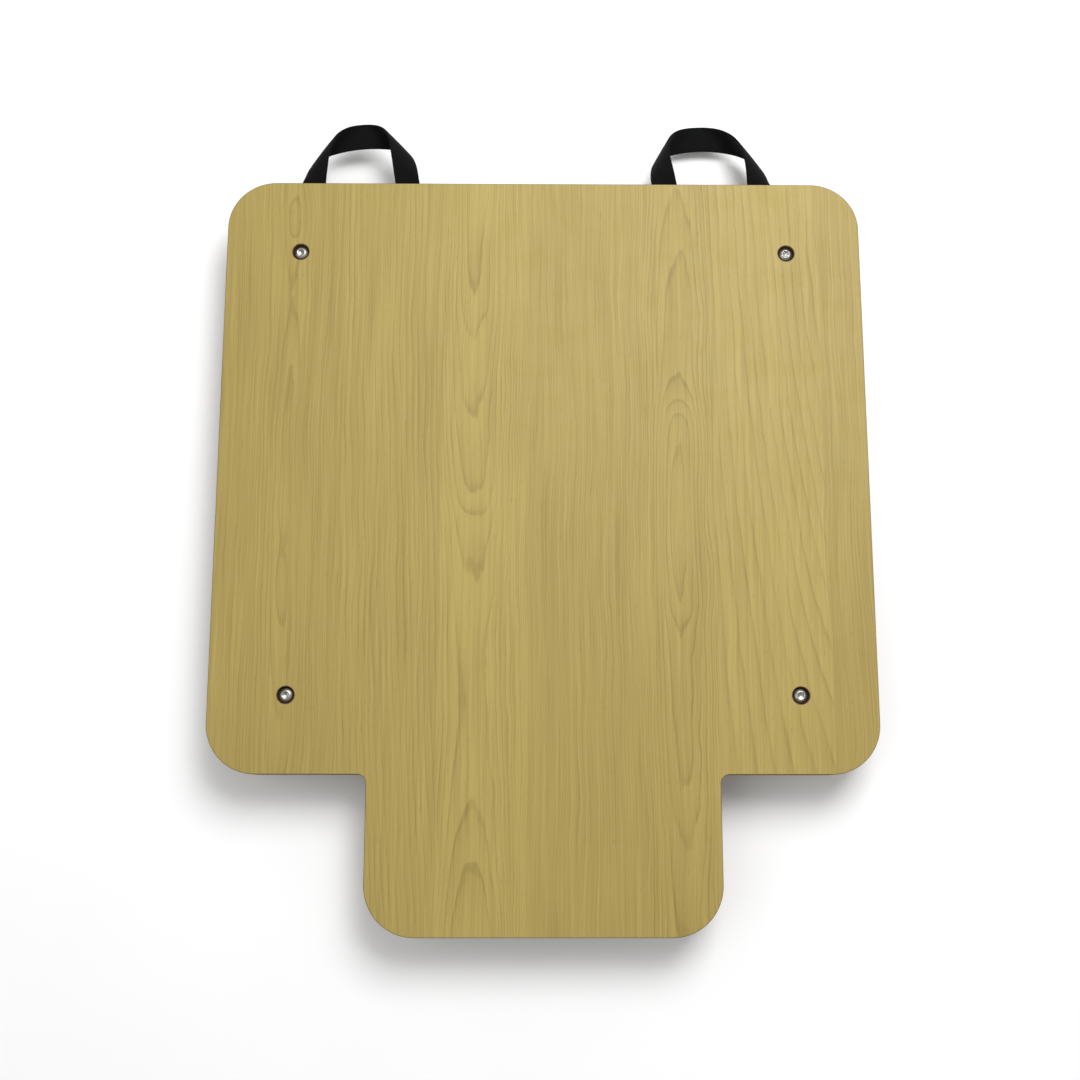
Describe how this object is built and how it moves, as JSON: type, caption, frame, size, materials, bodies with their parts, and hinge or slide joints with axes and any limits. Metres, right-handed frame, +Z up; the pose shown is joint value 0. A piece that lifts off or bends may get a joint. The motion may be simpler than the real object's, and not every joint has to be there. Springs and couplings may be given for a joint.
{
  "type": "transfer board",
  "caption": "T-shaped laminated transfer board on rubber feet, with a narrow tongue at one end and two webbing pull loops at the other.",
  "frame": {"origin": "on the floor below the centre of the overall box, at the height of the feet's lower faces", "axes": "+X across the board to the right seen from the tongue, +Y from the tongue to the pull loops, +Z up"},
  "size_m": [0.43, 0.5554, 0.038],
  "materials": {
    "core": "sealed fibreboard edge, dark brown, slightly rough",
    "laminate": "pale yellow-brown wood-grain laminate, satin",
    "foot": "matt black moulded rubber",
    "board_screw": "bright turned stainless steel",
    "washer": "tumbled zinc-plated steel",
    "lock_nut": "bright zinc-plated steel",
    "lock_ring": "off-white nylon",
    "webbing": "black woven polypropylene webbing",
    "strap_screw": "bright zinc-plated steel"
  },
  "bodies": {
    "board": {"core_board": "core", "top_laminate": "laminate", "bottom_laminate": "laminate", "foot_back_left": "foot", "foot_back_right": "foot", "foot_front_left": "foot", "foot_front_right": "foot", "screw_back_left": "board_screw", "screw_back_right": "board_screw", "screw_front_left": "board_screw", "screw_front_right": "board_screw", "foot_washer_back_left": "washer", "foot_washer_back_right": "washer", "foot_washer_front_left": "washer", "foot_washer_front_right": "washer", "lock_nut_back_left": "lock_nut", "lock_nut_back_right": "lock_nut", "lock_nut_front_left": "lock_nut", "lock_nut_front_right": "lock_nut", "lock_ring_back_left": "lock_ring", "lock_ring_back_right": "lock_ring", "lock_ring_front_left": "lock_ring", "lock_ring_front_right": "lock_ring", "strap_left_tail_outer": "webbing", "strap_left_tail_inner": "webbing", "strap_right_tail_inner": "webbing", "strap_right_tail_outer": "webbing", "strap_washer_left_outer": "washer", "strap_washer_left_inner": "washer", "strap_washer_right_inner": "washer", "strap_washer_right_outer": "washer", "strap_screw_left_outer": "strap_screw", "strap_screw_left_inner": "strap_screw", "strap_screw_right_inner": "strap_screw", "strap_screw_right_outer": "strap_screw"},
    "left_loop": {"strap_left_loop": "webbing"},
    "right_loop": {"strap_right_loop": "webbing"}
  },
  "joints": [
    {"name": "left_strap_bend", "type": "hinge", "parent": "board", "child": "left_loop", "pos_m": [-0.1276, 0.22435, 0.0192], "axis": [1, 0, 0], "range_deg": [-100, 60], "stiffness_Nm_per_rad": 0.05},
    {"name": "right_strap_bend", "type": "hinge", "parent": "board", "child": "right_loop", "pos_m": [0.1188, 0.22435, 0.0192], "axis": [1, 0, 0], "range_deg": [-100, 60], "stiffness_Nm_per_rad": 0.05}
  ]
}
